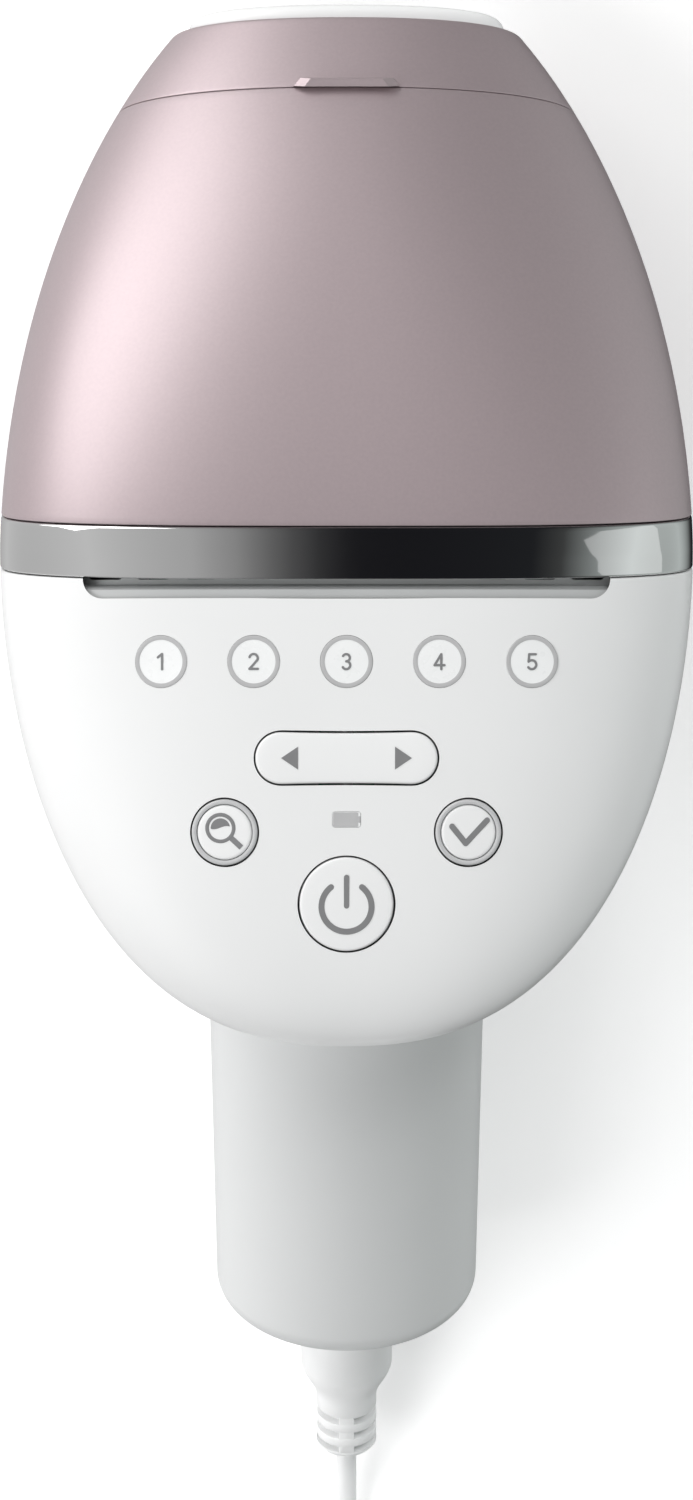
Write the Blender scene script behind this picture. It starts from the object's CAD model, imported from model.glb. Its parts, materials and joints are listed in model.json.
"""The looks of the IPL hair remover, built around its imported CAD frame.

Lengths below are in millimetres in the device's own frame (x across, y from the grip towards
the flash window, z out of the keypad) until place() turns them into the row frame's metres.
"""
import json
import math

import bpy
import bmesh
import numpy as np
from mathutils import Matrix, Vector

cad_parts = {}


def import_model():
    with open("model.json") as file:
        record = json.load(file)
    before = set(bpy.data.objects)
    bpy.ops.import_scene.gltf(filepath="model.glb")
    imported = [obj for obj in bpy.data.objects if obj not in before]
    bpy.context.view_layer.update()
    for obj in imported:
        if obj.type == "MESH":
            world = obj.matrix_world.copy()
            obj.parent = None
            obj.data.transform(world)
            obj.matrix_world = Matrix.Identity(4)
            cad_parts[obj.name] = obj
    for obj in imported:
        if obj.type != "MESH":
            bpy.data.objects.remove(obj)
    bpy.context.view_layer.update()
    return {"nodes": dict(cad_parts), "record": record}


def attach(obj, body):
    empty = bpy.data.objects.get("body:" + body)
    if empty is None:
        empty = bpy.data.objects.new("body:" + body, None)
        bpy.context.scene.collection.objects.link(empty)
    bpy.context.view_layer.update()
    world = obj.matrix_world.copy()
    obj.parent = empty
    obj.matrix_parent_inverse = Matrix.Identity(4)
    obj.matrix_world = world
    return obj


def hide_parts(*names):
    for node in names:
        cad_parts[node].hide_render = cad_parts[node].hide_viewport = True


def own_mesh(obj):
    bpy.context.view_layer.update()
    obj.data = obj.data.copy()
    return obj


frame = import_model()

# ------------------------------------------------------------------ driving dimensions
MM = 0.001
HALF_WIDTH = 44.1
WIDEST_Y = 26.3
REAR_REACH = 63.5
FRONT_REACH = 81.5
RIM_Y = 93.4
WALL = 2.2
RING_SLOPE = 0.12
BAND_LOW, BAND_HIGH = 21.0, 27.6
SEAM_GAP = 0.14  # the hairline between neighbouring mouldings
FINE_SEAM = 0.09  # and between the attachment and the head

FLASH_TILT = math.radians(9)
FLASH_ORIGIN = (0, 93.1, -45.3)
SEAM_BACK = 11.0
NOSE_PROUD = 2.8
WINDOW = (32, 13)
SKIRT_WALL, SKIRT_ROLL, RIM_ROLL = 1.5, 0.14, 0.4
FACE_DEPTH, FACE_BACK = -1.7, -3.6  # the attachment's front face, along the flash axis

GRIP_TILT = math.radians(28.5)
GRIP_ORIGIN = (0, -72.9, -66)
GRIP_LENGTH = 76
GRIP_END_RADIUS, GRIP_TOP_RADIUS = 17.5, 18.4
GRIP_CORNER = 3.5
GRIP_WALL = 2.2

REST_TILT = math.radians(8.2)
REST_HEIGHT = 69.95
REST_Y = -2.143

# a round button is its x, y and radius, a long one its y, width and height
POWER = (0, -19.1, 5.85)
SIDE_BUTTON = (15.1, -10.2, 4.1)
BEZEL = 0.62
TOGGLE = (-1.0, 22.6, 6.7)
TOGGLE_THICK = 2.7
LIGHT_Y, LIGHT_PITCH, LIGHT_RADIUS = 10.95, 11.5, 3.25
BATTERY = (-8.6, 3.5, 1.9)
VENT_HALF, VENT_LOW, VENT_CORNER = 32.8, 18.8, 2.5
SCREWS = [(-28, 15), (28, 15), (-25, -1), (25, -1)]
SCREW_FACE = -47.5

TRIGGER_Y, TRIGGER_LENGTH, TRIGGER_WIDTH = 52, 24, 12
TRIGGER_LOW, TRIGGER_HIGH = -19.2, -14.6

CORD_RADIUS = 1.375
PLUG_REACH = 26
COIL_CENTRE = (20.85, -145)

DEVICE = Matrix.Translation((0, REST_Y * MM, REST_HEIGHT * MM)) @ Matrix.Rotation(-REST_TILT, 4, "X")
DEVICE = DEVICE @ Matrix.Scale(MM, 4)
FLASH = DEVICE @ Matrix.Translation(FLASH_ORIGIN) @ Matrix.Rotation(-FLASH_TILT, 4, "X")
GRIP = DEVICE @ Matrix.Translation(GRIP_ORIGIN) @ Matrix.Rotation(GRIP_TILT, 4, "X")
ROW = Matrix.Scale(MM, 4)

# ------------------------------------------------------------------ camera
CAMERA_DISTANCE = 680
LENS = 131.9
camera = bpy.data.objects.new("camera", bpy.data.cameras.new("camera"))
bpy.context.scene.collection.objects.link(camera)
camera.data.lens = LENS
camera.data.sensor_width = 36
camera.data.clip_end = 20
away = DEVICE @ Vector((0, 0, CAMERA_DISTANCE))
turn = DEVICE.to_quaternion().to_matrix().to_4x4()
camera.matrix_world = Matrix.Translation(away) @ turn
bpy.context.scene.camera = camera


# ------------------------------------------------------------------ material helpers
def material(name, colour, roughness, metallic=0.0, specular=0.5, coat=0.0, coat_roughness=0.1):
    mat = bpy.data.materials.new(name)
    mat.use_nodes = True
    shader = mat.node_tree.nodes["Principled BSDF"]
    shader.inputs["Base Color"].default_value = (*colour, 1)
    shader.inputs["Roughness"].default_value = roughness
    shader.inputs["Metallic"].default_value = metallic
    shader.inputs["Specular IOR Level"].default_value = specular
    shader.inputs["Coat Weight"].default_value = coat
    shader.inputs["Coat Roughness"].default_value = coat_roughness
    return mat


def add_node(mat, kind, **values):
    node = mat.node_tree.nodes.new(kind)
    for key, value in values.items():
        if key in node.inputs:
            node.inputs[key].default_value = value
        else:
            setattr(node, key, value)
    return node


def wire(mat, out_node, out_name, in_node, in_name):
    mat.node_tree.links.new(out_node.outputs[out_name], in_node.inputs[in_name])


def shader_of(mat):
    return mat.node_tree.nodes["Principled BSDF"]


def mottle(mat, low, high, scale, detail=3.0):
    """Soft colour variation between two close colours."""
    where = add_node(mat, "ShaderNodeTexCoord")
    noise = add_node(mat, "ShaderNodeTexNoise", Scale=scale, Detail=detail)
    ramp = add_node(mat, "ShaderNodeValToRGB")
    ramp.color_ramp.elements[0].position, ramp.color_ramp.elements[1].position = 0.3, 0.7
    ramp.color_ramp.elements[0].color = (*low, 1)
    ramp.color_ramp.elements[1].color = (*high, 1)
    wire(mat, where, "Object", noise, "Vector")
    wire(mat, noise, "Fac", ramp, "Fac")
    wire(mat, ramp, "Color", shader_of(mat), "Base Color")


def grain(mat, scale, strength, distance=0.00002, detail=2.0):
    """Moulded texture as a fine bump."""
    where = add_node(mat, "ShaderNodeTexCoord")
    noise = add_node(mat, "ShaderNodeTexNoise", Scale=scale, Detail=detail)
    bump = add_node(mat, "ShaderNodeBump", Strength=strength, Distance=distance)
    wire(mat, where, "Object", noise, "Vector")
    wire(mat, noise, "Fac", bump, "Height")
    wire(mat, bump, "Normal", shader_of(mat), "Normal")


def rough_variation(mat, low, high, scale):
    where = add_node(mat, "ShaderNodeTexCoord")
    noise = add_node(mat, "ShaderNodeTexNoise", Scale=scale, Detail=4.0)
    span = add_node(mat, "ShaderNodeMapRange")
    span.inputs["To Min"].default_value, span.inputs["To Max"].default_value = low, high
    wire(mat, where, "Object", noise, "Vector")
    wire(mat, noise, "Fac", span, "Value")
    wire(mat, span, "Result", shader_of(mat), "Roughness")


# ------------------------------------------------------------------ materials
def white_shell():
    mat = material("white_shell", (0.79, 0.795, 0.795), 0.34, coat=0.15, coat_roughness=0.25)
    mottle(mat, (0.783, 0.788, 0.788), (0.797, 0.802, 0.802), 60)
    rough_variation(mat, 0.30, 0.38, 900)
    grain(mat, 2600, 0.05)
    return mat


def grip_white():
    """The grip's moulding is a shade greyer than the keypad shell's."""
    mat = material("grip_white", (0.665, 0.675, 0.675), 0.42)
    mottle(mat, (0.66, 0.67, 0.67), (0.67, 0.68, 0.68), 60)
    rough_variation(mat, 0.38, 0.46, 900)
    grain(mat, 2600, 0.07)
    return mat


def white_button():
    mat = material("white_button", (0.81, 0.815, 0.815), 0.3, coat=0.1, coat_roughness=0.2)
    mottle(mat, (0.805, 0.81, 0.81), (0.815, 0.82, 0.82), 90)
    grain(mat, 3000, 0.04)
    return mat


def mauve_paint():
    """Pearl paint: a satin metallic flake under a soft clear coat."""
    mat = material("mauve_paint", (0.54, 0.45, 0.475), 0.5, metallic=0.66, coat=0.5, coat_roughness=0.3)
    mottle(mat, (0.53, 0.441, 0.462), (0.55, 0.459, 0.478), 2200, 1.0)
    rough_variation(mat, 0.46, 0.54, 3200)
    grain(mat, 4200, 0.05)
    return mat


def chrome():
    mat = material("dark_chrome", (0.8, 0.8, 0.8), 0.05, metallic=1.0)
    rough_variation(mat, 0.04, 0.06, 300)
    return mat


def plain(name, colour, roughness, metallic=0.0, spread=0.03, scale=120, bump=0.05, bump_scale=1800,
          coat=0.0):
    low = [max(0.0, c * (1 - spread)) for c in colour]
    high = [min(1.0, c * (1 + spread)) for c in colour]
    mat = material(name, colour, roughness, metallic=metallic, coat=coat)
    mottle(mat, low, high, scale)
    rough_variation(mat, roughness * 0.88, min(1.0, roughness * 1.12), scale * 6)
    if bump:
        grain(mat, bump_scale, bump)
    return mat


def glass(name, colour, roughness=0.03):
    mat = material(name, colour, roughness)
    shader = shader_of(mat)
    shader.inputs["Transmission Weight"].default_value = 1.0
    shader.inputs["IOR"].default_value = 1.46
    where = add_node(mat, "ShaderNodeTexCoord")
    noise = add_node(mat, "ShaderNodeTexNoise", Scale=200.0)
    span = add_node(mat, "ShaderNodeMapRange")
    span.inputs["To Min"].default_value = roughness
    span.inputs["To Max"].default_value = roughness + 0.03
    wire(mat, where, "Object", noise, "Vector")
    wire(mat, noise, "Fac", span, "Value")
    wire(mat, span, "Result", shader, "Roughness")
    return mat


MATERIALS = {
    "white_shell": white_shell(),
    "grip_white": grip_white(),
    "white_button": white_button(),
    "mauve_paint": mauve_paint(),
    "chrome": chrome(),
    "light_lens": plain("light_lens", (0.84, 0.85, 0.85), 0.28, bump=0.03),
    "print_grey": plain("print_grey", (0.215, 0.216, 0.22), 0.45, spread=0.04, scale=400),
    "ring_grey": plain("ring_grey", (0.46, 0.46, 0.465), 0.4, spread=0.03, scale=400),
    "bezel_grey": plain("bezel_grey", (0.52, 0.525, 0.53), 0.3, spread=0.02),
    "trigger_white": plain("trigger_white", (0.74, 0.75, 0.76), 0.35, bump=0.08),
    "grille_grey": plain("grille_grey", (0.46, 0.47, 0.47), 0.5, bump=0.1),
    "gap_dark": plain("gap_dark", (0.05, 0.05, 0.05), 0.6),
    "window_glass": glass("window_glass", (0.93, 0.97, 0.97)),
    "filter_glass": glass("filter_glass", (0.9, 0.72, 0.35)),
    "lamp_glass": glass("lamp_glass", (0.95, 0.97, 0.99)),
    "reflector_metal": plain("reflector_metal", (0.88, 0.89, 0.9), 0.12, 1.0, bump=0.02),
    "heat_sink_metal": plain("heat_sink_metal", (0.62, 0.64, 0.65), 0.42, 1.0, bump=0.15, bump_scale=900),
    "contact_brass": plain("contact_brass", (0.83, 0.62, 0.25), 0.25, 1.0, bump=0.03),
    "lamp_ceramic": plain("lamp_ceramic", (0.78, 0.76, 0.7), 0.75, bump=0.2, bump_scale=1200),
    "black_plastic": plain("black_plastic", (0.03, 0.03, 0.033), 0.45, bump=0.1, scale=80),
    "membrane_rubber": plain("membrane_rubber", (0.42, 0.44, 0.47), 0.7, bump=0.12),
    "circuit_board": plain("circuit_board", (0.03, 0.22, 0.11), 0.4, spread=0.12, scale=260, bump=0.1),
    "transformer_tape": plain("transformer_tape", (0.72, 0.5, 0.07), 0.4, spread=0.08, scale=300),
    "capacitor_sleeve": plain("capacitor_sleeve", (0.04, 0.06, 0.1), 0.35),
    "cell_wrap": plain("cell_wrap", (0.06, 0.2, 0.5), 0.3, coat=0.3),
    "lead_red": plain("lead_red", (0.5, 0.03, 0.03), 0.4),
    "steel": plain("steel", (0.6, 0.61, 0.62), 0.3, 1.0, bump=0.05),
    "pin_nickel": plain("pin_nickel", (0.72, 0.73, 0.72), 0.2, 1.0, bump=0.03),
    "cord_white": plain("cord_white", (0.9, 0.905, 0.905), 0.42, spread=0.01, scale=200, bump=0.06),
    "adapter_white": plain("adapter_white", (0.62, 0.63, 0.635), 0.4, spread=0.01, bump=0.18, bump_scale=3000),
    "tie_grey": plain("tie_grey", (0.06, 0.06, 0.065), 0.55, bump=0.15),
}


# ------------------------------------------------------------------ mesh helpers
def sharpen(mesh, angle):
    """Smooth shading with hard edges where faces meet at more than an angle."""
    for polygon in mesh.polygons:
        polygon.use_smooth = True
    mesh.set_sharp_from_angle(angle=math.radians(angle))


def tidy_mesh(mesh, merge=0.0):
    bm = bmesh.new()
    bm.from_mesh(mesh)
    if merge:
        bmesh.ops.remove_doubles(bm, verts=bm.verts, dist=merge)
    bmesh.ops.dissolve_degenerate(bm, edges=bm.edges, dist=1e-8)
    bmesh.ops.recalc_face_normals(bm, faces=bm.faces)
    bm.to_mesh(mesh)
    bm.free()


def place(name, points, faces, where, mat, angle=35, merge=1e-7):
    """A mesh object with its points, given in millimetres of one frame, baked into the row frame."""
    mesh = bpy.data.meshes.new(name)
    mesh.from_pydata([where @ Vector(p) for p in points], [], faces)
    mesh.materials.append(MATERIALS[mat])
    tidy_mesh(mesh, merge)
    sharpen(mesh, angle)
    obj = bpy.data.objects.new(name, mesh)
    bpy.context.scene.collection.objects.link(obj)
    return obj


def finish_piece(obj, body, replaced=()):
    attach(obj, body)
    if replaced:
        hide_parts(*replaced)
    return obj


def grid_faces(rows, count, closed=False, caps=True):
    """Faces between rows of points that each go once round, with end caps or closed on itself."""
    faces = []
    for i in range(rows if closed else rows - 1):
        a, b = i * count, ((i + 1) % rows) * count
        faces += [(a + j, a + (j + 1) % count, b + (j + 1) % count, b + j) for j in range(count)]
    if caps and not closed:
        faces.append(tuple(range(count))[::-1])
        faces.append(tuple((rows - 1) * count + j for j in range(count)))
    return faces


def lathe_rows(profile, count=64, axis="z"):
    rows = []
    for r, h in profile:
        for j in range(count):
            a = 2 * math.pi * j / count
            x, y = r * math.cos(a), r * math.sin(a)
            rows.append((x, y, h) if axis == "z" else (x, h, -y))
    return rows


def lathe(name, profile, where, mat, count=64, axis="z", closed=False, angle=35):
    points = lathe_rows(profile, count, axis)
    return place(name, points, grid_faces(len(profile), count, closed), where, mat, angle)


def arc(cx, cy, r, start, end, steps):
    """Points on an arc, angles in degrees."""
    span = [math.radians(start + (end - start) * i / steps) for i in range(steps + 1)]
    return [(cx + r * math.cos(a), cy + r * math.sin(a)) for a in span]


def stadium(width, height, steps=16):
    r = height / 2
    return arc(width / 2 - r, 0, r, -90, 90, steps) + arc(-width / 2 + r, 0, r, 90, 270, steps)


def rounded_box(width, height, r, steps=8):
    w, h = width / 2 - r, height / 2 - r
    return (arc(w, -h, r, -90, 0, steps) + arc(w, h, r, 0, 90, steps)
            + arc(-w, h, r, 90, 180, steps) + arc(-w, -h, r, 180, 270, steps))


def offset_outline(outline, distance):
    """The outline drawn in (or out, if negative) by a distance."""
    points = np.array(outline)
    before, after = np.roll(points, 1, axis=0), np.roll(points, -1, axis=0)
    tangent = after - before
    tangent /= np.maximum(np.linalg.norm(tangent, axis=1, keepdims=True), 1e-9)
    normal = np.stack([-tangent[:, 1], tangent[:, 0]], axis=1)
    return points + normal * distance


def prism_rows(outline, steps):
    """Rows of an outline for each (inset, height) step."""
    return [(x, y, h) for inset, h in steps for x, y in offset_outline(outline, inset)]


def prism(name, outline, steps, where, mat, angle=35):
    points = prism_rows(outline, steps)
    return place(name, points, grid_faces(len(steps), len(outline)), where, mat, angle)


def boolean(obj, cutters, operation="DIFFERENCE", keep_cut=False):
    """Cuts obj with throw-away objects; keep_cut gives the cut faces the cutter's material."""
    for cutter in cutters:
        mod = obj.modifiers.new("cut", "BOOLEAN")
        mod.object, mod.operation, mod.solver = cutter, operation, "EXACT"
        mod.material_mode = "TRANSFER" if keep_cut else "INDEX"
        with bpy.context.temp_override(object=obj, active_object=obj, selected_objects=[obj]):
            bpy.ops.object.modifier_apply(modifier=mod.name)
        bpy.data.objects.remove(cutter, do_unlink=True)
    return obj


# ------------------------------------------------------------------ the head's outer form
def smoothstep(x, low, high):
    t = min(1.0, max(0.0, (x - low) / (high - low)))
    return t * t * (3 - 2 * t)


def station(y0):
    """Half width, keypad-side depth, widest depth, underside depth, both powers and the lean."""
    if y0 > WIDEST_Y:
        t = (y0 - WIDEST_Y) / (RIM_Y - WIDEST_Y)
        along = (y0 - WIDEST_Y) / FRONT_REACH
        blend = smoothstep(t, 0.05, 0.8)
        return (HALF_WIDTH * (1 - along ** 1.95) ** (1 / 1.75), -32.5 * t ** 1.45, -23 - 20.3 * t,
                -60 + 2 * t * t, 3.2 - 1.1 * smoothstep(t, 0, 0.8) + 0.2 * t ** 4, 2.5 + 0.9 * t * t,
                -RING_SLOPE * (1 - blend) + math.tan(FLASH_TILT) * blend)
    t = min(1.0, (WIDEST_Y - y0) / REAR_REACH)
    return (HALF_WIDTH * (1 - t ** 1.95) ** (1 / 2.45), -14 + 14 * (1 - t ** 5) ** 0.2, -23 + 9 * t * t,
            -14 - 46 * (1 - t ** 1.8) ** (1 / 1.8), 3.2, 2.5, -RING_SLOPE * (1 - t * t))


def head_point(y0, angle, inset=0.0):
    half, top, middle, bottom, top_power, bottom_power, lean = station(y0)
    c, d = math.cos(angle), math.sin(angle)
    power = 2 / (top_power if d >= 0 else bottom_power)
    reach = (top - middle if d >= 0 else middle - bottom) - inset
    x = math.copysign(abs(c) ** power, c) * (half - inset)
    rise = math.copysign(abs(d) ** power, d) * reach
    return (x, y0 + lean * rise, middle + rise)


def keypad_height(x, y):
    z = 0.0
    for _ in range(8):
        _, _, middle, _, _, _, lean = station(y)
        half, top, middle, _, power, _, _ = station(y - lean * (z - middle))
        z = middle + (top - middle) * (1 - (abs(x) / half) ** power) ** (1 / power)
    return z


def on_keypad(x, y):
    """The frame of a keypad piece: its z axis is the surface's normal."""
    d = 0.5
    slope_x = (keypad_height(x + d, y) - keypad_height(x - d, y)) / (2 * d)
    slope_y = (keypad_height(x, y + d) - keypad_height(x, y - d)) / (2 * d)
    normal = Vector((-slope_x, -slope_y, 1)).normalized()
    turned = Vector((0, 0, 1)).rotation_difference(normal).to_matrix().to_4x4()
    return DEVICE @ Matrix.Translation((x, y, keypad_height(x, y))) @ turned


FLASH_AXIS = (Matrix.Rotation(-FLASH_TILT, 3, "X") @ Vector((0, 1, 0)))
BAND_AXIS = Vector((0, 1, RING_SLOPE)).normalized()
AROUND = 192


def across(axis, point, at):
    """The stations, one for each angle, where the head's surface meets a plane."""
    axis, level = Vector(axis), Vector(axis).dot(Vector(point))
    found = []
    for j in range(AROUND):
        angle = 2 * math.pi * (j + 0.5) / AROUND
        low, high = at - 16, at + 16
        for _ in range(40):
            mid = (low + high) / 2
            if axis.dot(Vector(head_point(mid, angle))) < level:
                low = mid
            else:
                high = mid
        found.append((low + high) / 2)
    return found


def band_cut(y):
    return across(BAND_AXIS, (0, y, 0), y + 2)


def seam_cut(back):
    point = Vector(FLASH_ORIGIN) - FLASH_AXIS * back
    return across(FLASH_AXIS, point, min(RIM_Y + 4, RIM_Y - back))


def ring_row(stations, inset=0.0, shift=0.0):
    """One row of surface points; shift moves the stations along y."""
    return [head_point(stations[j] + shift, 2 * math.pi * (j + 0.5) / AROUND, inset) for j in range(AROUND)]


def between(low, high, steps, inset=0.0):
    rows = []
    for i in range(steps + 1):
        t = i / steps
        rows.append(ring_row([a + (b - a) * t for a, b in zip(low, high)], inset))
    return rows


def rolled(stations, r, sign, steps=4):
    """Rows that roll an edge inwards; sign is +1 where the edge is the forward one."""
    rows = []
    for i in range(1, steps + 1):
        a = math.pi / 2 * i / steps
        rows.append(ring_row(stations, r * (1 - math.cos(a)), sign * r * math.sin(a)))
    return rows


def shell_between(name, low, high, steps, wall, roll, mat, angle=30):
    """A closed ring of housing between two cuts, with rolled edges and an inner wall."""
    low_edge = [s + roll for s in low]
    high_edge = [s - roll for s in high]
    outer = rolled(low_edge, roll, -1)[::-1] + between(low_edge, high_edge, steps)
    outer += rolled(high_edge, roll, 1)
    inner = between(high, low, max(6, steps // 4), wall)
    rows = outer + inner
    points = [p for row in rows for p in row]
    return place(name, points, grid_faces(len(rows), AROUND, closed=True), DEVICE, mat, angle)


# ------------------------------------------------------------------ the head's shells
TIP_LIMIT = math.radians(89.6)


def rear_rows(stations, inset, steps, reach):
    """Rows from a cut back to the rounded bottom of the keypad, closer together near its end."""
    rows = []
    for i in range(steps + 1):
        u = i / steps
        row = []
        for j in range(AROUND):
            start = math.asin(max(0.0, (WIDEST_Y - stations[j]) / REAR_REACH))
            swing = start + (TIP_LIMIT - start) * (1 - (1 - u) ** 1.7)
            y0 = WIDEST_Y - reach * math.sin(swing)
            row.append(head_point(y0, 2 * math.pi * (j + 0.5) / AROUND, inset))
        rows.append(row)
    return rows


def rear_shell():
    roll = 0.3
    cut = band_cut(BAND_LOW - SEAM_GAP / 2)
    edge = [s - roll for s in cut]
    outer = rear_rows(edge, 0, 110, REAR_REACH)[::-1]
    inner = rear_rows(cut, WALL, 40, REAR_REACH - 3.4)
    rows = outer + rolled(edge, roll, 1) + inner
    points = [p for row in rows for p in row]
    shell = place("rear_housing", points, grid_faces(len(rows), AROUND), DEVICE, "white_shell", 30)
    gaps = [keypad_hole(POWER[2], on_keypad(POWER[0], POWER[1]))]
    for side in (-1, 1):
        gaps.append(keypad_hole(SIDE_BUTTON[2], on_keypad(side * SIDE_BUTTON[0], SIDE_BUTTON[1])))
    gaps.append(mouth_cutter(toggle_outline(), on_keypad(0, TOGGLE[0])))
    boolean(shell, gaps, keep_cut=True)
    cutters = [keypad_hole(LIGHT_RADIUS, on_keypad((i - 2) * LIGHT_PITCH, LIGHT_Y), 1.0, 0.02, 0.02)
               for i in range(5)]
    sign = rounded_box(BATTERY[1], BATTERY[2], 0.3, 4)
    cutters.append(mouth_cutter(sign, on_keypad(0, BATTERY[0]), 1.0, 0.02, 0.02))
    cutters.append(vent_cutter())
    cutters.append(lathe("cutter", grip_profile(0.12), GRIP, "gap_dark", 96, "y"))
    for x, y in SCREWS:
        where = DEVICE @ Matrix.Translation((x, y, SCREW_FACE))
        cutters.append(lathe("cutter", [(2.7, -20), (2.7, 0.3)], where, "gap_dark", 32))
    boolean(shell, cutters)
    return finish_shell(shell)


def mouth_cutter(outline, where, depth=8.0, gap=0.2, lip=0.05):
    """A hole's cutter, wider at its mouth so that the hole gets a fine chamfer."""
    steps = [(-gap, -depth), (-gap, -lip), (-gap - 1.6 * lip, 0.6 * lip), (-gap - 1.6 * lip, 6)]
    return prism("cutter", outline, steps, where, "gap_dark")


def toggle_outline():
    """A long rocker with round ends and a slight waist."""
    half = TOGGLE[1] / 2
    ends = dense(stadium(TOGGLE[1], TOGGLE[2], 24), 0.6)
    return [(x, y * (1 - 0.07 * (1 - (x / half) ** 2))) for x, y in ends]


def keypad_hole(radius, where, depth=8.0, gap=0.2, lip=0.05):
    steps = 96
    circle = [(radius * math.cos(2 * math.pi * i / steps), radius * math.sin(2 * math.pi * i / steps))
              for i in range(steps)]
    return mouth_cutter(circle, where, depth, gap, lip)


def vent_cutter():
    outline = rounded_box(2 * VENT_HALF, 2 * (BAND_HIGH + 3 - VENT_LOW), VENT_CORNER, 10)
    steps = [(0, -14), (0, -0.1), (-0.12, 0.1), (-0.12, 6)]
    return prism("cutter", outline, steps, DEVICE @ Matrix.Translation((0, BAND_HIGH + 3, 0)), "gap_dark")


def finish_shell(obj):
    """Normals weighted by area, so that the many holes leave the shell's shading smooth."""
    tidy_mesh(obj.data, 2e-7)
    sharpen(obj.data, 28)
    mod = obj.modifiers.new("normals", "WEIGHTED_NORMAL")
    mod.keep_sharp, mod.weight = True, 60
    with bpy.context.temp_override(object=obj, active_object=obj, selected_objects=[obj]):
        bpy.ops.object.modifier_apply(modifier=mod.name)
    return finish_piece(obj, "root", ["rear_shell"])


def chrome_band():
    low, high = band_cut(BAND_LOW + SEAM_GAP / 2), band_cut(BAND_HIGH - SEAM_GAP / 2)
    obj = shell_between("band", low, high, 14, WALL, 0.32, "chrome", 30)
    return finish_piece(obj, "root", ["chrome_band"])


def front_shell():
    low, high = band_cut(BAND_HIGH + SEAM_GAP / 2), seam_cut(SEAM_BACK + FINE_SEAM / 2)
    obj = shell_between("front_housing", low, high, 72, WALL, SKIRT_ROLL, "mauve_paint", 30)
    return finish_piece(obj, "root", ["front_shell"])


def flash_row(outline, y):
    """A row on the flash axis at y through an outline's points, one for each angle round the head."""
    shape = np.array(outline)
    angles = np.arctan2(shape[:, 1], shape[:, 0])
    row = []
    for j in range(AROUND):
        wanted = 2 * math.pi * (j + 0.5) / AROUND
        gap = np.abs((angles - wanted + math.pi) % (2 * math.pi) - math.pi)
        a, b = np.argsort(gap)[:2]
        share = gap[b] / max(gap[a] + gap[b], 1e-9)
        x, z = shape[a] * share + shape[b] * (1 - share)
        row.append(flash_point(x, y, z))
    return row


def flash_point(x, y, z):
    turned = Matrix.Rotation(-FLASH_TILT, 3, "X") @ Vector((x, y, z))
    return tuple(turned + Vector(FLASH_ORIGIN))


def nose_row(y, inset):
    shift = FLASH_AXIS * y
    return [tuple(Vector(head_point(RIM_Y, 2 * math.pi * (j + 0.5) / AROUND, inset)) + shift)
            for j in range(AROUND)]


def dense(outline, spacing=0.1):
    """The outline with points at most a spacing apart."""
    points = []
    for i, (x, y) in enumerate(outline):
        nx, ny = outline[(i + 1) % len(outline)]
        steps = max(1, int(math.hypot(nx - x, ny - y) / spacing))
        points += [(x + (nx - x) * k / steps, y + (ny - y) * k / steps) for k in range(steps)]
    return points


def attachment_skirt():
    seam = [s + SKIRT_ROLL for s in seam_cut(SEAM_BACK - FINE_SEAM / 2)]
    rim = [RIM_Y - RIM_ROLL] * AROUND
    rows = rolled(seam, SKIRT_ROLL, -1)[::-1] + between(seam, rim, 26) + rolled(rim, RIM_ROLL, 1, 5)
    rows += [ring_row([RIM_Y] * AROUND, SKIRT_WALL), nose_row(FACE_DEPTH, SKIRT_WALL)]
    opening = dense(rounded_box(WINDOW[0] - 2, WINDOW[1] - 2, 2, 12))
    rows += [flash_row(opening, FACE_DEPTH), flash_row(opening, FACE_BACK), nose_row(FACE_BACK, SKIRT_WALL)]
    rows.append(between(seam, rim, 26, SKIRT_WALL)[12])
    rows.append(ring_row(seam, SKIRT_WALL, -SKIRT_ROLL))
    points = [p for row in rows for p in row]
    faces = grid_faces(len(rows), AROUND, closed=True)
    obj = place("attachment_skirt_skin", points, faces, DEVICE, "mauve_paint", 30)
    boolean(obj, [half_space(ROW, -20, 0.0, 400)])
    sharpen(obj.data, 30)
    return finish_piece(obj, "attachment", ["attachment_skirt"])


def finger_ledge():
    """A low wedge at the seam to push the attachment off with: sloping cheeks and a sharp lower lip."""
    base = -SEAM_BACK + SEAM_GAP / 2
    rows = []
    # depth, half widths at the lip and at the back, and how far the lip and the back reach
    for z, lip, back, low, high in ((14.0, 6.9, 6.2, 0.0, 1.1), (17.9, 6.9, 6.2, 0.0, 1.1),
                                    (18.0, 6.9, 6.2, 0.0, 1.1), (18.7, 6.75, 5.9, 0.0, 1.05),
                                    (19.6, 5.4, 4.6, -0.35, 0.7)):
        rows += [(-lip, base + low, z), (lip, base + low, z), (back, base + high, z), (-back, base + high, z)]
    obj = place("finger_ledge", rows, grid_faces(5, 4), FLASH, "mauve_paint", 20)
    return finish_piece(obj, "attachment")


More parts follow.
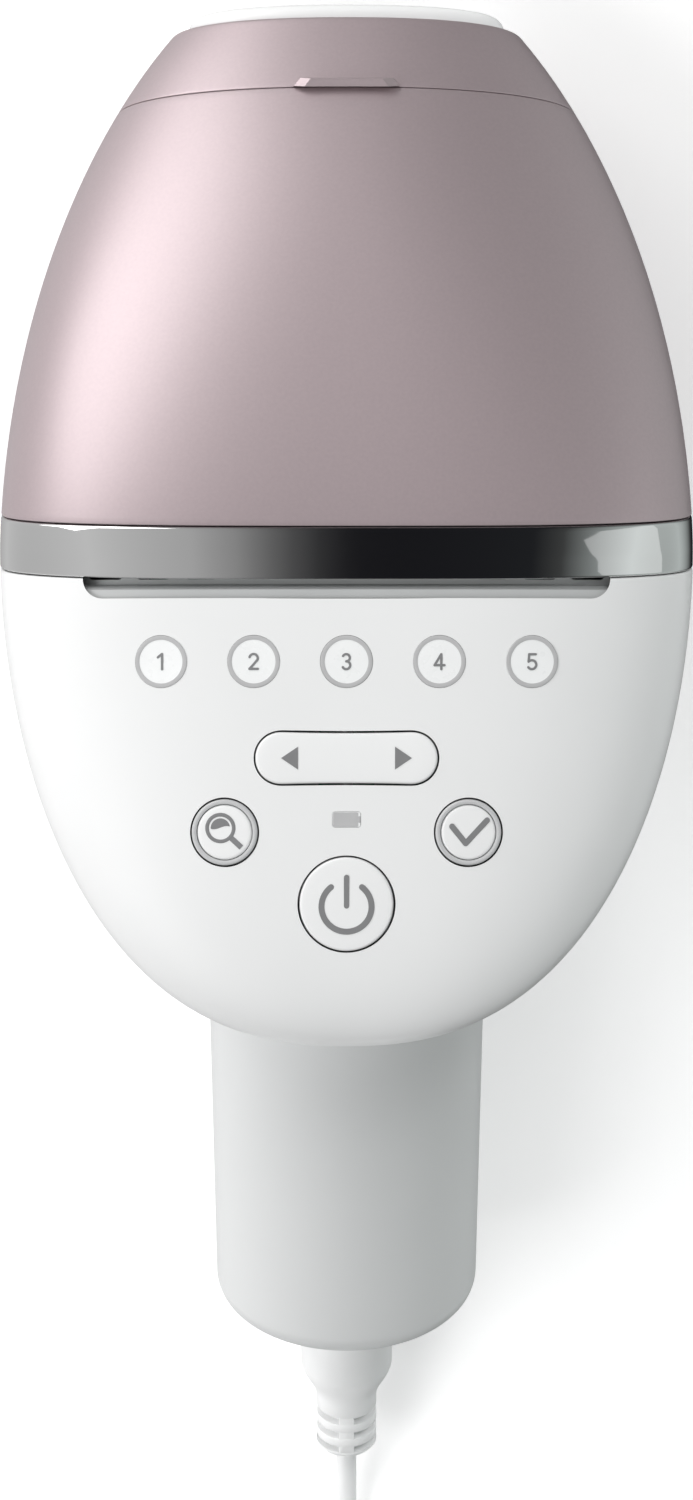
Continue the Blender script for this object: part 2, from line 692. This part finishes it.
def safety_ring():
    profile = [(-0.6, 2.0), (0.6, 2.0), (1.3, 2.1), (1.8, 2.3), (2.2, 2.65), (2.5, 3.1), (2.7, 3.7),
               (2.78, 4.3), (NOSE_PROUD, 5.0)]
    rows = [nose_row(y, inset) for y, inset in profile]
    opening = dense(rounded_box(WINDOW[0], WINDOW[1], 2, 12))
    wide = dense(rounded_box(WINDOW[0] + 0.8, WINDOW[1] + 0.8, 2.4, 12))
    rows += [flash_row(wide, NOSE_PROUD), flash_row(opening, 2.4), flash_row(opening, 1.2)]
    rows += [nose_row(1.2, 3.6), nose_row(-0.6, 3.4)]
    points = [p for row in rows for p in row]
    faces = grid_faces(len(rows), AROUND, closed=True)
    obj = place("safety_ring_skin", points, faces, DEVICE, "white_shell", 32)
    return finish_piece(obj, "safety", ["safety_ring"])


def vent_grille():
    """A grey strip that slopes down under the band, with its air slots at the foot of the slope."""
    rows = []
    count = 161
    section = [(18.3, -0.5), (19.9, -0.75), (20.6, -2.5), (23.4, -2.6), (23.4, -3.8), (18.3, -3.8)]
    for y, dz in section:
        for i in range(count):
            x = -33.6 + 67.2 * i / (count - 1)
            rows.append((x, y, keypad_height(x * 0.985, 20.5) + dz))
    faces = []
    sides = len(section)
    for k in range(sides):
        a, b = k * count, ((k + 1) % sides) * count
        faces += [(a + i, a + i + 1, b + i + 1, b + i) for i in range(count - 1)]
    faces.append(tuple(k * count for k in range(sides)))
    faces.append(tuple(k * count + count - 1 for k in range(sides))[::-1])
    obj = place("vent_strip", rows, faces, DEVICE, "grille_grey", 30)
    cutters = []
    for i in range(11):
        where = DEVICE @ Matrix.Translation((-30 + 6 * i, 21.9, 0))
        cutters.append(prism("cutter", rounded_box(4.4, 1.4, 0.6, 6), [(0, -14), (0, 4)], where, "gap_dark"))
    boolean(obj, cutters)
    tidy_mesh(obj.data)
    sharpen(obj.data, 30)
    return finish_piece(obj, "root", ["vent_grille"])


# ------------------------------------------------------------------ grip and trigger
def grip_profile(grow):
    end = GRIP_END_RADIUS + grow
    corner = [(end - GRIP_CORNER * (1 - math.sin(a)), -grow + GRIP_CORNER * (1 - math.cos(a)))
              for a in (math.pi / 2 * i / 16 for i in range(17))]
    top = GRIP_TOP_RADIUS + grow
    body = [(end + (top - end) * i / 24, GRIP_CORNER + (GRIP_LENGTH - GRIP_CORNER) * i / 24)
            for i in range(1, 25)]
    return [(0.001, -grow)] + corner + body + [(0.001, GRIP_LENGTH)]


def half_space(where, low, high, size=120):
    return prism("cutter", rounded_box(size, size, 1, 2), [(0, low), (0, high)], where, "gap_dark")


def grip_halves():
    skin = grip_profile(0)[1:-1]
    bore = [(GRIP_TOP_RADIUS - GRIP_WALL, GRIP_LENGTH), (GRIP_END_RADIUS - GRIP_WALL, 4.5),
            (GRIP_END_RADIUS - GRIP_WALL - 2, 2.5), (6.1, 2.5), (6.1, 0.0)]
    for name, node, low, high in (("grip_near", "grip_front", 0.06, 60),
                                  ("grip_far", "grip_back", -60, -0.06)):
        half = lathe(name, skin + bore, GRIP, "grip_white", 160, "y", closed=True, angle=30)
        keep = half_space(GRIP @ Matrix.Translation((0, 40, 0)), low, high)
        boolean(half, [keep], "INTERSECT")
        if node == "grip_back":
            slot = [(x, y) for y, x in stadium(TRIGGER_LENGTH + 0.4, TRIGGER_WIDTH + 0.4, 16)][::-1]
            where = GRIP @ Matrix.Translation((0, TRIGGER_Y, 0))
            boolean(half, [prism("cutter", slot, [(0, -24), (0, -10)], where, "gap_dark")])
            boolean(half, [half_space(ROW, -20, 0.0, 400)])
        tidy_mesh(half.data)
        sharpen(half.data, 30)
        finish_piece(half, "root", [node])


def flash_trigger():
    outline = [(x, y) for y, x in stadium(TRIGGER_LENGTH, TRIGGER_WIDTH, 20)][::-1]
    flange = [(x, y) for y, x in stadium(TRIGGER_LENGTH + 3, TRIGGER_WIDTH - 3, 20)][::-1]
    steps = [(0.9, TRIGGER_LOW), (0.35, TRIGGER_LOW + 0.12), (0.08, TRIGGER_LOW + 0.4),
             (0, TRIGGER_LOW + 0.8), (0, TRIGGER_HIGH)]
    where = GRIP @ Matrix.Translation((0, TRIGGER_Y, 0))
    obj = prism("trigger_pad", outline, steps, where, "trigger_white")
    flange_steps = [(0, TRIGGER_HIGH), (0, TRIGGER_HIGH + 0.5)]
    plate = prism("trigger_flange", flange, flange_steps, where, "trigger_white")
    finish_piece(obj, "trigger", ["flash_trigger"])
    finish_piece(plate, "trigger")
    profile = [(0.001, 0.3), (0.9, 0.3), (0.9, 0), (0.7, -0.25), (0.35, -0.4), (0.001, -0.45)]
    for i in range(5):
        spot = where @ Matrix.Translation((0, -6 + 3 * i, TRIGGER_LOW))
        dot = lathe("trigger_dot_%d" % (i + 1), profile, spot, "trigger_white", 24)
        finish_piece(dot, "trigger")


# ------------------------------------------------------------------ prints and keypad pieces
def stroke(points, width, steps=8):
    """The outline of a line of one width with round ends."""
    line = np.array(points, float)
    tangent = np.gradient(line, axis=0)
    tangent /= np.linalg.norm(tangent, axis=1, keepdims=True)
    side = np.stack([-tangent[:, 1], tangent[:, 0]], axis=1) * width / 2
    start, end = math.atan2(-tangent[0][1], -tangent[0][0]), math.atan2(tangent[-1][1], tangent[-1][0])
    outline = [tuple(p) for p in line - side]
    outline += [(line[-1][0] + width / 2 * math.cos(end + a), line[-1][1] + width / 2 * math.sin(end + a))
                for a in np.linspace(-math.pi / 2, math.pi / 2, steps)[1:-1]]
    outline += [tuple(p) for p in (line + side)[::-1]]
    outline += [(line[0][0] + width / 2 * math.cos(start + a), line[0][1] + width / 2 * math.sin(start + a))
                for a in np.linspace(-math.pi / 2, math.pi / 2, steps)[1:-1]]
    return outline


def printed(name, outline, where, low, body, mat="print_grey", thick=0.05):
    obj = prism(name, outline, [(0, low - 0.1), (0, low + thick)], where, mat)
    return finish_piece(obj, body)


def ring_print(name, radius, width, where, low, body, mat, thick=0.05):
    inner, high = radius - width, low + thick
    profile = [(inner, low - 0.1), (radius, low - 0.1), (radius, high - 0.01), (radius - 0.03, high),
               (inner + 0.03, high), (inner, high - 0.01)]
    obj = lathe(name, profile, where, mat, 96, "z", closed=True)
    return finish_piece(obj, body)


def button_cap(name, radius, where, body, node, crown=0.12, mat="white_button"):
    """A button with a rolled edge and a slight crown."""
    profile = [(0.001, -3.4), (radius + 0.8, -3.4), (radius + 0.8, -2.8), (radius, -2.8), (radius, -0.35)]
    profile += [(radius - 0.35 + 0.35 * math.cos(a), -0.35 + 0.4 * math.sin(a))
                for a in (math.pi / 2 * i / 6 for i in range(1, 7))]
    flat = radius - 0.35
    profile += [(max(0.001, flat * (1 - i / 10)), 0.05 + crown * (1 - (1 - i / 10) ** 2))
                for i in range(1, 11)]
    obj = lathe(name, profile, where, mat, 96)
    return finish_piece(obj, body, [node])


def power_button():
    where = on_keypad(POWER[0], POWER[1])
    button_cap("power_cap", POWER[2], where, "power", "power_button")
    swing = [math.radians(90 + 38 + (360 - 76) * i / 48) for i in range(49)]
    arc_line = [(3.1 * math.cos(a), -0.3 + 3.1 * math.sin(a)) for a in swing]
    printed("power_arc", stroke(arc_line, 0.74), where, 0.12, "power")
    printed("power_bar", stroke([(0, 3.35), (0, 1.6), (0, -0.2)], 0.66), where, 0.16, "power")


def side_buttons():
    for name, side in (("sensor", -1), ("confirm", 1)):
        where = on_keypad(side * SIDE_BUTTON[0], SIDE_BUTTON[1])
        outer, inner = SIDE_BUTTON[2], SIDE_BUTTON[2] - BEZEL
        button_cap(name + "_cap", inner - 0.06, where, name, name + "_button", 0.06)
        ring = [(inner, -2.6), (outer, -2.6), (outer, -0.1), (outer - 0.06, 0.02), (outer - 0.2, 0.1),
                (inner + 0.2, 0.1), (inner + 0.05, 0.04), (inner, -0.08)]
        obj = lathe(name + "_ring", ring, where, "bezel_grey", 96, closed=True)
        finish_piece(obj, name, [name + "_bezel"])
    check_mark()
    magnifier()


def check_mark():
    where = on_keypad(SIDE_BUTTON[0], SIDE_BUTTON[1])
    short = [(-2.05, 0.75), (-1.2, -0.3), (-0.35, -1.36)]
    long = [(-0.35, -1.36), (0.95, 0.05), (2.3, 1.5)]
    printed("check_short", stroke(short, 0.72), where, 0.09, "confirm")
    printed("check_long", stroke(long, 0.72), where, 0.088, "confirm")


def magnifier():
    """A lens with a filled sky above a wavy line, and a square-ended handle."""
    where = on_keypad(-SIDE_BUTTON[0], SIDE_BUTTON[1])
    lens = where @ Matrix.Translation((-0.51, 0.54, 0))
    ring_print("lens_ring", 1.88, 0.45, lens, 0.09, "sensor", "print_grey")
    r = 1.2
    wave = [(x, 0.05 + 0.2 * math.sin(1.9 * x)) for x in np.linspace(-r + 0.02, r - 0.04, 25)]
    start, end = math.atan2(wave[-1][1], wave[-1][0]), math.atan2(wave[0][1], wave[0][0]) + 2 * math.pi
    bowl = [(r * math.cos(a), r * math.sin(a)) for a in np.linspace(start, end, 25)]
    printed("lens_fill", wave + bowl[1:-1], lens, 0.085, "sensor")
    handle = [(1.3, -1.2), (1.95, -1.8), (2.6, -2.4)]
    printed("lens_handle", stroke(handle, 0.68, 2), lens, 0.08, "sensor")


def toggle():
    where = on_keypad(0, TOGGLE[0])
    outline = toggle_outline()
    steps = [(0, -TOGGLE_THICK), (0, -0.3)]
    steps += [(0.35 * (1 - math.cos(a)), -0.3 + 0.4 * math.sin(a))
              for a in (math.pi / 2 * i / 6 for i in range(1, 7))]
    steps += [(1.2, 0.13), (2.2, 0.15)]
    obj = prism("toggle_cap", outline, steps, where, "white_button")
    finish_piece(obj, "toggle", ["toggle_rocker"])
    boss_steps = [(0, -TOGGLE_THICK - 2.8), (0, -TOGGLE_THICK + 0.1)]
    boss = prism("toggle_boss", rounded_box(4.4, 5, 0.4, 4), boss_steps, where, "white_button")
    pin_hole = lathe("cutter", [(1.0, -8), (1.0, 8)], where @ Matrix.Translation((0, 0, -TOGGLE_THICK - 1.2)),
                     "gap_dark", 32, "y")
    boolean(boss, [pin_hole])
    finish_piece(boss, "toggle")
    for name, side in (("toggle_left", -1), ("toggle_right", 1)):
        corners = [(side * 8.1, 0), (side * 6.0, 1.42), (side * 6.0, -1.42)]
        printed(name, corners if side < 0 else corners[::-1], where, 0.15, "toggle")


def swing(cx, cy, r, start, end, squash=1.0, steps=16):
    return [(cx + (x - cx) * squash, y) for x, y in arc(cx, cy, r, start, end, steps)]


# strokes of each figure in a box one unit high
FIGURES = {
    "1": [[(-0.2, 0.78), (-0.06, 0.89), (0.08, 1.0)], [(0.08, 0.97), (0.08, 0.5), (0.08, 0.0)]],
    "2": [swing(0, 0.72, 0.27, 165, -40), [(0.2, 0.56), (-0.02, 0.29), (-0.27, 0.02)],
          [(-0.27, 0.02), (0, 0.02), (0.28, 0.02)]],
    "3": [swing(-0.02, 0.745, 0.235, 150, -90), swing(-0.02, 0.26, 0.26, 90, -150)],
    "4": [[(0.12, 0.0), (0.12, 0.5), (0.12, 0.98)], [(0.12, 0.98), (-0.1, 0.62), (-0.32, 0.26)],
          [(-0.32, 0.26), (0, 0.26), (0.33, 0.26)]],
    "5": [[(0.24, 0.98), (0, 0.98), (-0.2, 0.98)], [(-0.2, 0.98), (-0.215, 0.75), (-0.235, 0.5)],
          swing(-0.02, 0.3, 0.29, 130, -145)],
}


def digit(text, where, height, low):
    points, faces = [], []
    for k, line in enumerate(FIGURES[text]):
        outline = stroke([(x * height, (y - 0.5) * height) for x, y in line], 0.3)
        start, count = len(points), len(outline)
        points += prism_rows(outline, [(0, low - 0.1), (0, low + 0.05 + 0.002 * k)])
        faces += [tuple(start + j for j in face) for face in grid_faces(2, count)]
    obj = place("digit_" + text, points, faces, where, "print_grey", 35)
    return finish_piece(obj, "root")


def intensity_lights():
    for i in range(5):
        where = on_keypad((i - 2) * LIGHT_PITCH, LIGHT_Y)
        r = LIGHT_RADIUS
        profile = [(0.001, -1.0), (r, -1.0), (r, -0.06), (r - 0.06, 0.0), (0.001, 0.0)]
        lens = lathe("light_lens_%d" % (i + 1), profile, where, "light_lens", 72)
        finish_piece(lens, "root", ["intensity_light_%d" % (i + 1)])
        ring_print("light_ring_%d" % (i + 1), r - 0.02, 0.52, where, 0.0, "root", "ring_grey", 0.04)
        digit(str(i + 1), where, 1.9, 0.0)


def battery_lens():
    where = on_keypad(0, BATTERY[0])
    steps = [(0, -1.0), (0, -0.05), (0.05, 0.0)]
    obj = prism("battery_face", rounded_box(BATTERY[1], BATTERY[2], 0.2, 4), steps, where, "light_lens")
    finish_piece(obj, "root", ["battery_lens"])
    fill = prism("battery_print", rounded_box(3.1, 1.75, 0.12, 4), [(0, -0.1), (0, 0.04)],
                 where @ Matrix.Translation((-0.12, 0, 0)), "ring_grey")
    finish_piece(fill, "root")
    nub = prism("battery_nub", rounded_box(0.3, 0.8, 0.08, 4), [(0, -0.1), (0, 0.04)],
                where @ Matrix.Translation((1.6, 0, 0)), "ring_grey")
    finish_piece(nub, "root")


# ------------------------------------------------------------------ plug, cord, adapter
def plug():
    """Collar, cone and a ribbed sleeve whose grooves stop at a plain strip on the near side."""
    profile = [(0.001, 9), (2.6, 9), (2.6, -0.35), (5.3, -0.35), (5.9, -0.6), (6.2, -1.0), (6.2, -11.6)]
    sleeve, first_groove, groove_pitch = 4.1, -18.95, 2.35
    profile += [(6.12, -12.2), (5.9, -12.9), (5.45, -13.8), (4.95, -14.7), (4.5, -15.6), (4.2, -16.5),
                (sleeve, -17.4)]
    for i in range(3):
        y = first_groove - i * groove_pitch
        profile += [(sleeve, y + 0.12), (4.02, y), (2.8, y - 0.06), (2.7, y - 0.55), (2.8, y - 1.06),
                    (4.02, y - 1.1), (sleeve, y - 1.22)]
    profile += [(sleeve, -24.6), (3.95, -25.1), (3.5, -25.6), (2.7, -25.9), (1.6, -PLUG_REACH),
                (0.001, -PLUG_REACH)]
    body = lathe("plug_sleeve", profile[::-1], GRIP, "cord_white", 96, "y", angle=40)
    finish_piece(body, "root", ["device_plug"])
    tab = prism("plug_tab", rounded_box(2.1, 6.0, 0.3, 4), [(0, 2.6), (0, 3.9), (0.12, 3.97)],
                GRIP @ Matrix.Translation((0, -21.9, 0)), "cord_white")
    finish_piece(tab, "root")
    under = prism("plug_tab_far", rounded_box(2.1, 6.0, 0.3, 4), [(0.12, -3.97), (0, -3.9), (0, -2.6)],
                  GRIP @ Matrix.Translation((0, -21.9, 0)), "cord_white")
    finish_piece(under, "root")
    return [body, tab, under]


NEAR_POINTS = [(0, -108.5, 5.9), (0, -111.2, 4.95), (0, -114.2, 3.7), (0, -117.6, 2.35), (0, -121.4, 1.66),
               (0, -126, 1.45), (0, -132.8, 1.45)]
FAR_POINTS = [(0, -157.2, 7.9), (0, -165, 5.2), (-0.3, -175, 2.7), (-1.2, -184, 1.55), (-4.4, -194.5, 1.5),
              (-11, -202.2, 1.55), (-19, -204.6, 2.3), (-25, -203, 4.2), (-26.7, -198.9, 5.5)]
COIL_LAYERS, COIL_RINGS = 4, 4
COIL_INNER, COIL_PITCH = 12.15, 2.9
COIL_FLOOR, COIL_RISE = 2.45, 2.8


def coil_points():
    """Turns laid in four layers, by turns from the outside in and from the inside out."""
    spots = []
    for layer in range(COIL_LAYERS):
        order = range(COIL_RINGS)
        for ring in (reversed(order) if layer % 2 == 0 else order):
            spots.append((COIL_INNER + COIL_PITCH * ring, COIL_FLOOR + COIL_RISE * layer))
    points = []
    steps = 36
    for turn_index, (r, z) in enumerate(spots):
        next_r, next_z = spots[min(turn_index + 1, len(spots) - 1)]
        for i in range(steps):
            t = smoothstep(i / steps, 0.86, 1.0)
            a = math.pi + 2 * math.pi * i / steps
            radius, height = r + (next_r - r) * t, z + (next_z - z) * t
            points.append((COIL_CENTRE[0] + radius * math.cos(a), COIL_CENTRE[1] + radius * math.sin(a),
                           height))
    return points


def cord(plug_pieces):
    lead_in = [(0, -107.6, 6.2)] + NEAR_POINTS + [(0, -139, 1.9), (0, -142.5, 2.4)]
    lead_out = [(0, -148.5, 10.7), (0, -153, 9.6)] + FAR_POINTS
    points = lead_in + coil_points() + lead_out
    curve = bpy.data.curves.new("lead", "CURVE")
    curve.dimensions = "3D"
    curve.bevel_depth = CORD_RADIUS * MM
    curve.bevel_resolution = 5
    curve.resolution_u = 4
    curve.use_fill_caps = True
    spline = curve.splines.new("NURBS")
    spline.points.add(len(points) - 1)
    for spot, (x, y, z) in zip(spline.points, points):
        spot.co = (x * MM, y * MM, z * MM, 1)
    spline.order_u = 3
    spline.use_endpoint_u = True
    curve.materials.append(MATERIALS["cord_white"])
    obj = bpy.data.objects.new("lead", curve)
    bpy.context.scene.collection.objects.link(obj)
    finish_piece(obj, "root", ["cord_near", "cord_far", "cord_coil"])
    with_pieces = plug_pieces + adapter() + [cord_tie(), "adapter_pin_1", "adapter_pin_2"]


def cord_tie():
    outline = rounded_box(14.4, 13.6, 2.2, 8)
    inner = rounded_box(13.2, 12.4, 1.8, 8)
    rows = []
    for half, line in ((-3, outline), (3, outline), (3, inner), (-3, inner)):
        rows += [(x, half, y) for x, y in line]
    where = ROW @ Matrix.Translation((COIL_CENTRE[0] + 16.3, COIL_CENTRE[1], 6.85))
    obj = place("lead_tie", rows, grid_faces(4, len(outline), closed=True), where, "tie_grey", 30)
    return finish_piece(obj, "root", ["cord_tie"])


ADAPTER_BOX = (-27, -168, 34, 48, 26)


def adapter():
    x, y, width, length, height = ADAPTER_BOX
    where = ROW @ Matrix.Translation((x, y, height / 2)) @ Matrix.Rotation(math.pi / 2, 4, "X")
    outline = rounded_box(width, height, 5, 10)
    half = length / 2
    seam = -half + 14
    steps = [(1.2, -half), (0.45, -half + 0.15), (0.12, -half + 0.55), (0, -half + 1.2),
             (0, seam), (0.35, seam + 0.1), (0.35, seam + 0.4), (0, seam + 0.5),
             (0, half - 1.2), (0.12, half - 0.55), (0.45, half - 0.15), (1.2, half)]
    body = prism("adapter_case", outline, steps, where, "adapter_white", 35)
    finish_piece(body, "root", ["adapter_body"])
    relief = [(3.2, 0.0), (3.2, -0.3), (3.0, -0.8), (2.6, -1.2), (2.9, -1.7), (2.45, -2.2), (2.7, -2.8),
              (2.3, -3.3), (2.5, -3.9), (2.15, -4.4), (2.3, -5.0), (2.05, -5.6), (1.9, -6.0), (0.001, -6.0)]
    spot = ROW @ Matrix.Translation((x + 0.3, y - half, height / 2 - 7.5))
    sleeve = lathe("adapter_relief", [(0.001, 0.5), (3.2, 0.5)] + relief, spot, "cord_white", 48, "y")
    finish_piece(sleeve, "root")
    return [body, sleeve]


# ------------------------------------------------------------------ the trigger's spring
SPRING_Y, SPRING_LOW, SPRING_HEIGHT, SPRING_ANCHOR = 45, -13.7, 6.0, -7.5
SPRING_RADIUS, SPRING_WIRE, SPRING_TURNS = 2.4, 0.3, 4.5


def trigger_spring():
    points, rings, around = [], 160, 12
    for i in range(rings + 1):
        t = i / rings
        flat = 0.5 + (t - 0.5) * (1 if 0.06 < t < 0.94 else 0.995)
        a = 2 * math.pi * SPRING_TURNS * t
        centre = Vector((SPRING_RADIUS * math.cos(a), SPRING_Y + SPRING_RADIUS * math.sin(a),
                         SPRING_LOW + SPRING_HEIGHT * flat))
        out = Vector((math.cos(a), math.sin(a), 0))
        for j in range(around):
            b = 2 * math.pi * j / around
            points.append(centre + SPRING_WIRE * (out * math.cos(b) + Vector((0, 0, 1)) * math.sin(b)))
    obj = place("spring_coil", points, grid_faces(rings + 1, around), GRIP, "steel", 40)
    finish_piece(obj, "root", ["trigger_spring"])
    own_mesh(obj)


# ------------------------------------------------------------------ carried-over CAD pieces
def dress_cad():
    """Procedural materials for the CAD pieces that stay as they are, by the record's slots."""
    slots = {part["node"]: part["material_slot"] for part in frame["record"]["subparts"]}
    for name, node in frame["nodes"].items():
        node.data.materials.clear()
        node.data.materials.append(MATERIALS[slots[name]])


# ------------------------------------------------------------------ floor and light
def stage():
    bpy.ops.mesh.primitive_plane_add(size=6, location=(0, 0, -0.0002))
    floor = bpy.context.object
    floor.name = "floor"
    mat = bpy.data.materials.new("floor")
    mat.use_nodes = True
    shader = shader_of(mat)
    shader.inputs["Roughness"].default_value = 0.9
    shader.inputs["Specular IOR Level"].default_value = 0.1
    mottle(mat, (0.925, 0.925, 0.925), (0.935, 0.935, 0.935), 8)
    shader.inputs["Emission Color"].default_value = (1, 1, 1, 1)
    shader.inputs["Emission Strength"].default_value = 0.26
    floor.data.materials.append(mat)
    return floor


SKY = [(-1.0, (0.52, 0.52, 0.52)), (-0.65, (0.60, 0.60, 0.60)), (-0.2, (0.42, 0.42, 0.42)),
       (-0.1, (0.28, 0.28, 0.28)), (0.0, (0.01, 0.01, 0.012)), (0.3, (0.015, 0.016, 0.018)),
       (0.42, (0.05, 0.052, 0.052)), (0.6, (0.24, 0.26, 0.255)), (0.85, (0.50, 0.54, 0.53)),
       (1.0, (0.42, 0.45, 0.44))]


def world():
    """A studio seen by direction: a grey wall on the left, a dark ceiling, a paler wall on the right."""
    scene_world = bpy.data.worlds.new("studio")
    bpy.context.scene.world = scene_world
    scene_world.use_nodes = True
    tree = scene_world.node_tree
    where = tree.nodes.new("ShaderNodeTexCoord")
    split = tree.nodes.new("ShaderNodeSeparateXYZ")
    span = tree.nodes.new("ShaderNodeMapRange")
    span.inputs["From Min"].default_value, span.inputs["From Max"].default_value = -1, 1
    ramp = tree.nodes.new("ShaderNodeValToRGB")
    for i, (x, colour) in enumerate(SKY):
        spot = (x + 1) / 2
        stop = ramp.color_ramp.elements[i] if i < 2 else ramp.color_ramp.elements.new(spot)
        stop.position, stop.color = spot, (*colour, 1)
    tree.links.new(where.outputs["Generated"], split.inputs["Vector"])
    tree.links.new(split.outputs["X"], span.inputs["Value"])
    tree.links.new(span.outputs["Result"], ramp.inputs["Fac"])
    tree.links.new(ramp.outputs["Color"], tree.nodes["Background"].inputs["Color"])


def from_direction(name, direction, distance, size, level, colour=(1, 1, 1)):
    """A soft light whose level is what a white matt surface facing it would show."""
    data = bpy.data.lights.new(name, "AREA")
    data.energy, data.color, data.size = level * (math.pi * distance) ** 2, colour, size
    lamp = bpy.data.objects.new(name, data)
    bpy.context.scene.collection.objects.link(lamp)
    aim = Vector((0, 0, 0.04))
    spot = Vector(direction).normalized() * distance + aim
    lamp.location = spot
    lamp.rotation_euler = (aim - spot).to_track_quat("-Z", "Y").to_euler()
    return lamp


def lights(floor):
    world()
    from_direction("key", (-0.56, 0.8, 0.22), 1.1, 0.75, 0.5, (1.0, 0.98, 0.975))
    front = from_direction("front", (-0.68, -0.25, 0.68), 1.2, 0.7, 0.53)
    top = from_direction("top", (0.3, 0.6, 0.74), 1.2, 0.5, 0.38)
    from_direction("rim", (0.93, 0.15, 0.45), 1.1, 1.0, 0.065)
    for unseen in (front, top, floor):
        unseen.visible_glossy = False


# ------------------------------------------------------------------ making everything
plug_pieces = plug()
cord(plug_pieces)
rear_shell()
chrome_band()
front_shell()
attachment_skirt()
finger_ledge()
safety_ring()
vent_grille()
grip_halves()
flash_trigger()
power_button()
side_buttons()
toggle()
intensity_lights()
battery_lens()
trigger_spring()
dress_cad()
lights(stage())
bpy.context.scene.view_settings.view_transform = "Standard"
